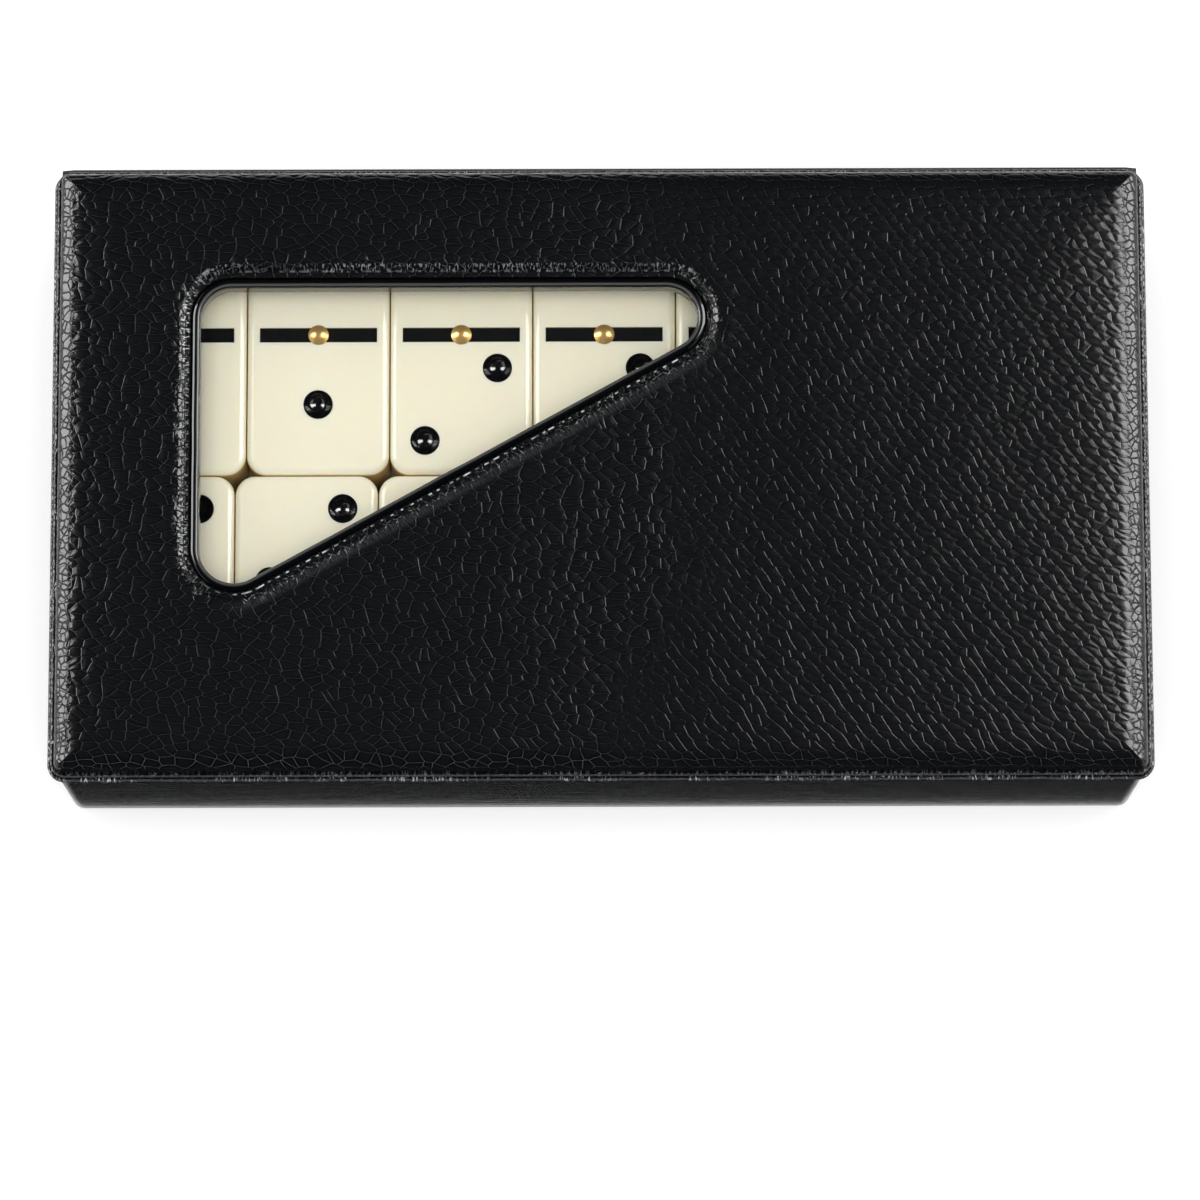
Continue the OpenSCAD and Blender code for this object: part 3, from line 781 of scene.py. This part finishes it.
class DOMINO_OT_padded_lid(CaseOperator):
    """Builds the padded leatherette top, rolled at its edges and drawn down to the window's seal"""

    bl_idname = "domino_case.padded_lid"
    bl_label = "Padded Lid"

    def execute(self, context):
        look = context.scene.case_look
        low, high = cad("lid_cover")
        top = high[2]
        skin, corner, least_corner, steps = 0.6, 1.5, 0.06, (184, 104)
        board_top = low[2] + 1.2
        points, faces = [], []

        def add_ring(ring):
            start = len(points)
            points.extend(ring)
            return start

        def outline(inset):
            radius = max(corner - inset, least_corner)
            return outline_stations(low[:2] + inset, high[:2] - inset, radius, steps)

        def flat_ring(inset, z):
            return add_ring([[*p, z] for p, _, _ in outline(inset)])

        # Rolled outer edge, from the underside's inner lip up and over
        outer = outline_stations(low, high, corner, steps)
        n_out = len(outer)
        profile = roll_profile(look.shoulder_radius)
        roll, roll_rise = profile[-1][:2]
        edge_rise = look.crown * 0.35
        lip = flat_ring(skin, board_top)
        rings = [flat_ring(skin, low[2]), flat_ring(0.0, low[2])]
        for inset, rise, bent in profile:
            ring = []
            for (p, way, _), (_, _, run) in zip(outline(inset), outer):
                shift = roll_ripple(look, run, bent)
                p = p + way * shift
                ring.append([p[0], p[1], top - roll_rise + rise + edge_rise * bent ** 2 + shift])
            rings.append(add_ring(ring))
        faces += ring_faces(lip, rings[0], n_out)
        for a, b in zip(rings, rings[1:]):
            faces += ring_faces(a, b, n_out)
        edge_ring = rings[-1]

        # Drawn-down strip round the window, from the hole's wall outwards
        bead_gap = 0.05
        hole = BEAD_WIDTH + bead_gap
        reach = [0.0, 0.1, 0.25, 0.42, 0.60, 0.78, 0.96, 1.15, 1.35,
                 1.6, 1.9, 2.25, 2.7, 3.2, 3.8, 4.6, 5.6, 6.8]
        seal_z = top + look.crown - look.window_dip
        inner = window_stations(run_step=0.30, arc_step=3.0)
        n_in = len(inner)
        slant = np.array(WINDOW[2][:2]) - np.array(WINDOW[1][:2])
        off_slant = np.array([slant[1], -slant[0]]) / np.linalg.norm(slant)
        # Each point keeps its place along and across the seal, and how squarely it faces off the slanted
        # side, which set the painted glints at the seal
        strips, seams, slopes = [], {}, {}
        for out in reach:
            ring = []
            for p, way, run in inner:
                q = p + way * (hole + out)
                at = len(points) + len(ring)
                seams[at] = (run, out - 0.8 * above_window(q[1]), tightness(q[0], q[1]))
                slopes[at] = max(0.0, float(way @ off_slant)) ** 8
                ring.append([q[0], q[1], seal_z + seal_height(look, out, run, q[0], q[1], slopes[at])])
            strips.append(add_ring(ring))
        wall = add_ring([[*(p + way * hole), board_top] for p, way, _ in inner])
        for a, b in zip([wall, *strips], strips):
            faces += [face[::-1] for face in ring_faces(a, b, n_in)]
        seam_ring = strips[-1]

        # Broad top between the two, over evenly spread points
        seam_loop = np.array(points[seam_ring:seam_ring + n_in])
        inner_low, inner_high = low[:2] + roll, high[:2] - roll
        spacing, clear_of_seam, edge_fade, seam_fade, swell_fade = 1.5, 0.9, 5.0, 2.5, 6.0
        field = spread_points(inner_low, inner_high, spacing)
        ways = np.array([way for _, way, _ in inner])
        outside = ((field[:, None] - seam_loop[None, :, :2]) * ways[None]).sum(2).max(1) > 0
        field = field[outside]
        seam_gap = loop_distance(field, seam_loop)
        clear = seam_gap > clear_of_seam
        field, seam_gap = field[clear], seam_gap[clear]
        edge_gap = np.minimum(field - inner_low, inner_high - field).min(1)
        seam_rise = float(np.mean(seam_loop[:, 2])) - top
        start = len(points)
        for (x, y), e, s in zip(field, edge_gap, seam_gap):
            rise = edge_rise + (look.crown - edge_rise) * (1 - math.exp(-max(e, 0.0) / edge_fade))
            rise += (seam_rise - rise) * math.exp(-s / seam_fade)
            swell = 0.10 * wander(x, y, size=19.0, seed=0.4) + 0.035 * wander(x, y, size=5.0, seed=9.1)
            rise += min(1.0, e / swell_fade, s / swell_fade) * swell
            points.append([x, y, top + rise])
        over = [*range(edge_ring, edge_ring + n_out), *range(seam_ring, seam_ring + n_in)]
        over += range(start, len(points))
        under = [*range(lip, lip + n_out), *range(wall, wall + n_in)]
        window = range(n_out, n_out + n_in)
        faces += filling_faces(points, over, window)
        faces += filling_faces(points, under, window, upward=False)

        piece = make_piece("padded_lid", points, faces, grained_leatherette(look))
        far_from_seal = (0.0, 50.0, 0.0)
        mark(piece, "seam", [seams.get(i, far_from_seal) for i in range(len(points))])
        mark(piece, "slope", [slopes.get(i, 0.0) for i in range(len(points))])
        sharpen(piece)
        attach(piece, "lid")
        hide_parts("lid_cover", "lid_foam")
        return {"FINISHED"}


class DOMINO_OT_window_bead(CaseOperator):
    """Builds the glossy bead round the window, with its fine ridge"""

    bl_idname = "domino_case.window_bead"
    bl_label = "Window Bead"

    def execute(self, context):
        look = context.scene.case_look
        low, high = cad("window_bead")
        proud = 0.12
        foot, top = low[2], high[2] + look.crown - look.window_dip + proud

        # Section from the window's side over the round top, with how brightly each point is painted as a
        # glint along the ridge
        r, steps = BEAD_WIDTH / 2, 16
        ridge_at, ridge_steps, ridge_rise, ridge_glint = 5.5, 1.1, 0.08, 0.16
        section, wear_and_sheen = [(0.0, foot)], [0.0]
        for k in range(steps + 1):
            angle = math.pi * (1 - k / steps)
            ridge = bell(k, ridge_at, ridge_steps)
            out_to = r + ridge_rise * ridge
            section.append((r + out_to * math.cos(angle), top - r + out_to * math.sin(angle)))
            wear_and_sheen.append(ridge_glint * ridge)
        section.append((BEAD_WIDTH, foot))
        wear_and_sheen.append(0.0)

        stations = window_stations(run_step=1.6, arc_step=4.0)
        points, faces, starts = [], [], []
        for p, way, run in stations:
            starts.append(len(points))
            sway = 0.035 * wander(run, 0.0, size=6.0, seed=5.5)
            lift = 0.03 * wander(run, 1.0, size=4.0, seed=8.8)
            for out, z in section:
                q = p + way * (out + (sway if z > foot else 0.0))
                points.append([q[0], q[1], z + (lift if z > foot + 1 else 0.0)])
        n = len(section)
        for a, b in zip(starts, starts[1:] + starts[:1]):
            faces += [(a + k, a + (k + 1) % n, b + (k + 1) % n, b + k) for k in range(n)]
        piece = make_piece("bead_round_window", points, faces, bead_vinyl(look))
        mark(piece, "glint", wear_and_sheen * len(stations))
        face_outwards(piece)
        sharpen(piece)
        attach(piece, "lid")
        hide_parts("window_bead")
        return {"FINISHED"}


class DOMINO_OT_hinge_strip(CaseOperator):
    """Builds the vinyl hinge strip, up the back wall and over the rim"""

    bl_idname = "domino_case.hinge_strip"
    bl_label = "Hinge Strip"

    def execute(self, context):
        look = context.scene.case_look
        low, high = cad("hinge_strip")
        half, thickness = 0.4, 0.8
        back, rim = high[1] - thickness, high[2] - thickness

        # Middle line of the strip in y and z, up the back wall, round the corner and over the rim
        spine = [(high[1] - half, z) for z in np.linspace(low[2], rim - 0.3, 16)]
        spine += [(back + half * math.cos(angle), rim + half * math.sin(angle))
                  for angle in np.linspace(0.0, math.pi / 2, 9)]
        spine += [(y, rim + half) for y in np.linspace(back - half, low[1], 6)]
        spine = np.array(spine)
        along = np.gradient(spine, axis=0)
        along /= np.linalg.norm(along, axis=1)[:, None]
        out = np.stack([along[:, 1], -along[:, 0]], axis=1)

        # The strip thins out towards its ends and lips, and its outer side on the wall is slightly wavy
        count, columns = len(spine), 97
        ends, end_reach, end_share, lip_share, clear = (0, count - 1), 0.8, 0.55, 0.75, 0.02
        points = []
        for x in np.linspace(low[0], high[0], columns):
            end_gap = min(x - low[0], high[0] - x)
            thin = half * (end_share + (1 - end_share) * min(1.0, end_gap / end_reach)) - clear
            for side in (1, -1):
                for k in range(count):
                    on_wall = side > 0 and spine[k][1] < rim - 0.5
                    wave = abs(0.03 * wander(x, spine[k][1], size=9.0, seed=6.0)) if on_wall else 0
                    lip = lip_share if k in ends else 1.0
                    y, z = spine[k] + out[k] * side * thin * lip - out[k] * wave
                    points.append([x, y, z])

        def at(i, side, k):
            return i * 2 * count + (0 if side > 0 else count) + k

        faces = []
        for i in range(columns - 1):
            for k in range(count - 1):
                faces.append((at(i, 1, k), at(i, 1, k + 1), at(i + 1, 1, k + 1), at(i + 1, 1, k)))
                faces.append((at(i, -1, k + 1), at(i, -1, k), at(i + 1, -1, k), at(i + 1, -1, k + 1)))
            for k in ends:
                face = (at(i, 1, k), at(i + 1, 1, k), at(i + 1, -1, k), at(i, -1, k))
                faces.append(face if k == 0 else face[::-1])
        for i in (0, columns - 1):
            for k in range(count - 1):
                face = (at(i, 1, k), at(i, -1, k), at(i, -1, k + 1), at(i, 1, k + 1))
                faces.append(face if i == 0 else face[::-1])
        piece = make_piece("vinyl_hinge", points, faces, hinge_vinyl(look))
        face_outwards(piece)
        sharpen(piece)
        pivot = (back + half) * MM, (rim + half) * MM
        pivot[1] - 0.0004
        pivot[0] - 0.0004
        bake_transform(piece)
        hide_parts("hinge_strip")
        return {"FINISHED"}


class DOMINO_OT_floor_pad(CaseOperator):
    """Builds the flocked pad that the dominoes lie on"""

    bl_idname = "domino_case.floor_pad"
    bl_label = "Floor Pad"

    def execute(self, context):
        look = context.scene.case_look
        low, high = cad("floor_foam")[0], cad("floor_cloth")[1]
        top = high[2]
        corner, steps, arc_steps = 0.8, (90, 50), 4
        # Inset and height of each ring, up the side and over the softened edge
        section = [(0.0, low[2]), (0.0, top - 0.9), (0.12, top - 0.4), (0.45, top - 0.1), (0.8, top - 0.02)]
        stations = outline_stations(low, high, corner, steps, arc_steps)
        n = len(stations)
        points, faces, rings = [], [], []
        for inset, z in section:
            rings.append(len(points))
            for p, way, _ in stations:
                points.append([*(p - way * inset), z])
        for a, b in zip(rings, rings[1:]):
            faces += ring_faces(a, b, n)

        start, spacing, clear = len(points), 2.5, 2.0
        for y in np.arange(low[1] + spacing, high[1] - clear, spacing):
            for x in np.arange(low[0] + spacing, high[0] - clear, spacing):
                points.append([x, y, top - 0.03 - 0.05 * abs(wander(x, y, size=8.0, seed=2.0))])
        faces += filling_faces(points, [*range(rings[-1], rings[-1] + n), *range(start, len(points))])
        faces.append(list(range(rings[0], rings[0] + n))[::-1])
        piece = make_piece("flocked_floor_pad", points, faces, flocked(look, "floor flock"))
        face_outwards(piece)
        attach(piece, "base")
        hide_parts("floor_foam", "floor_cloth")
        return {"FINISHED"}


class DOMINO_OT_boards_and_wraps(CaseOperator):
    """Finishes the boards, the smooth wrap, the sealed rims, the linings and the pane"""

    bl_idname = "domino_case.boards_and_wraps"
    bl_label = "Boards and Wraps"

    def execute(self, context):
        look = context.scene.case_look
        dress(smooth_leatherette(look), "bottom_cover", "side_wrap")
        dress(sealed_edge(look, "sealed rim", 0.9), "base_rim")
        dress(sealed_edge(look, "sealed lid edge", 0.12), "lid_edge")
        dress(flocked(look, "flock"), "wall_lining", "lid_inner_panel")
        dress(greyboard(), *[node for node in NODES if node.endswith("_board")])
        dress(clear_vinyl(), "window_pane")
        return {"FINISHED"}


class DOMINO_OT_dominoes(CaseOperator):
    """Finishes the ivory dominoes, their enamel and their spinners"""

    bl_idname = "domino_case.dominoes"
    bl_label = "Dominoes"

    def execute(self, context):
        look = context.scene.case_look
        dress(polished_ivory(look), *[node for node in NODES if node.startswith("domino_")])
        dress(black_enamel(look), "pip_enamel")
        dress(divider_black(), "divider_enamel")
        dress(brass_dome(look), "spinner_pins")
        return {"FINISHED"}


class DOMINO_OT_studio(CaseOperator):
    """Sets the pale floor, the soft lamps, the dark cards and the camera"""

    bl_idname = "domino_case.studio"
    bl_label = "Studio"

    def execute(self, context):
        context.scene.view_settings.view_transform = "Standard"
        self.set_floor()
        self.set_world(context.scene)
        self.set_cards()
        self.set_lamps(context.scene)
        self.set_camera(context.scene)
        return {"FINISHED"}

    def set_floor(self):
        """Pale floor that keeps the case's shadow"""
        f = Finish("pale floor")
        diffuse = f.node("BsdfDiffuse", None, {"Color": (0.80, 0.80, 0.80)})["BSDF"]
        glow = f.node("Emission", None, {"Color": (1.0, 1.0, 1.0), "Strength": f.seen() * 0.35})["Emission"]
        f.finish_with(f.node("AddShader", None, {0: diffuse, 1: glow})["Shader"])
        far = 6000
        corners = [[-far, -far, 0], [far, -far, 0], [far, far, 0], [-far, far, 0]]
        make_piece("studio_floor", corners, [(0, 1, 2, 3)], f.owner)

    def set_world(self, scene):
        """White where it is seen, softer as a light"""
        scene.world = bpy.data.worlds.new("studio")
        f = Finish("studio", scene.world)
        f.finish_with(f.node("Background", None, {
            "Color": (1.0, 1.0, 1.0), "Strength": f.seen() * 0.25 + 0.75})["Background"])

    def set_cards(self):
        """Dark cards that only reflections see"""
        f = Finish("dark card")
        f.finish_with(f.node("Emission", None, {"Color": (0.022, 0.022, 0.024), "Strength": 1.0})["Emission"])
        front, back, over, floor = -1600, 1900, 1300, 0.6
        case_front = -54.9
        # Each card has two level sides, of half a width at a place along Y and a height
        cards = {
            "card_over": [(1700, front, over), (1700, back, over)],
            "card_front": [(1500, front, 1), (1700, front, over)],
            "card_back": [(1500, back, 60), (1700, back, over)],
            "card_at_foot": [(400, -900, floor), (120, case_front, floor)],
        }
        for name, ((wide, y, z), (far_wide, far_y, far_z)) in cards.items():
            corners = [[-wide, y, z], [wide, y, z], [far_wide, far_y, far_z], [-far_wide, far_y, far_z]]
            panel = make_piece(name, corners, [(0, 1, 2, 3)], f.owner)
            panel.visible_camera = panel.visible_diffuse = panel.visible_shadow = False
            panel.visible_transmission = panel.visible_volume_scatter = False

    def set_lamps(self, scene):
        """Two tall softboxes that only glosses show, and a broad one that they don't"""
        aim = Vector((0, 0, 0.03))

        def softbox(name, at, wide, tall, power, glints):
            lamp = bpy.data.lights.new(name, "AREA")
            lamp.shape, lamp.size, lamp.size_y, lamp.energy = "RECTANGLE", wide, tall, power
            piece = bpy.data.objects.new(name, lamp)
            scene.collection.objects.link(piece)
            piece.location = at
            piece.rotation_euler = (aim - Vector(at)).to_track_quat("-Z", "Y").to_euler()
            piece.visible_diffuse, piece.visible_glossy = not glints, glints

        softbox("softbox_left", (-0.82, 0.25, 0.55), 0.50, 0.84, 11.5, glints=True)
        softbox("softbox_right", (0.72, 0.25, 0.70), 0.50, 0.95, 13.5, glints=True)
        softbox("softbox_over", (0.0, -0.15, 1.2), 0.9, 0.7, 7.6, glints=False)

    def set_camera(self, scene):
        """Camera as fitted to the photograph"""
        camera = bpy.data.cameras.new("camera")
        camera.sensor_width = 36.0
        camera.lens = PHOTO_LENS / PHOTO_WIDTH * 36.0
        camera.shift_y = PHOTO_SHIFT / PHOTO_WIDTH
        camera.clip_start, camera.clip_end = 0.02, 50.0
        view = bpy.data.objects.new("camera", camera)
        scene.collection.objects.link(view)
        pitch, yaw, roll = 0.166523, 0.003556, -0.006204
        turn = Matrix.Rotation(yaw, 3, "Z")
        right = turn @ Vector((1, 0, 0))
        up = turn @ Vector((0, math.cos(pitch), math.sin(pitch)))
        ahead = turn @ Vector((0, math.sin(pitch), -math.cos(pitch)))
        right, up = (right * math.cos(roll) + up * math.sin(roll),
                     up * math.cos(roll) - right * math.sin(roll))
        pose = Matrix((right, up, -ahead)).transposed().to_4x4()
        pose.translation = Vector((0.439, -202.84, 1000.00)) * MM
        view.matrix_world = pose
        scene.camera = view


PIECES = (
    DOMINO_OT_boards_and_wraps,
    DOMINO_OT_dominoes,
    DOMINO_OT_floor_pad,
    DOMINO_OT_padded_lid,
    DOMINO_OT_window_bead,
    DOMINO_OT_hinge_strip,
    DOMINO_OT_studio,
)


class DOMINO_PT_case(bpy.types.Panel):
    """Lists the case's sizes, colours and pieces"""

    bl_label = "Domino Case"
    bl_space_type = "VIEW_3D"
    bl_region_type = "UI"
    bl_category = "Domino Case"

    def draw(self, context):
        column = self.layout.column(align=True)
        for name in CaseLook.__annotations__:
            column.prop(context.scene.case_look, name)
        for piece in PIECES:
            self.layout.operator(piece.bl_idname)


CLASSES = (CaseLook, *PIECES, DOMINO_PT_case)


def register():
    for each in CLASSES:
        bpy.utils.register_class(each)
    bpy.types.Scene.case_look = bpy.props.PointerProperty(type=CaseLook)


def unregister():
    del bpy.types.Scene.case_look
    for each in reversed(CLASSES):
        bpy.utils.unregister_class(each)


def main():
    register()
    for piece in PIECES:
        group, name = piece.bl_idname.split(".")
        getattr(getattr(bpy.ops, group), name)()
    bpy.context.view_layer.update()


if __name__ == "__main__":
    main()
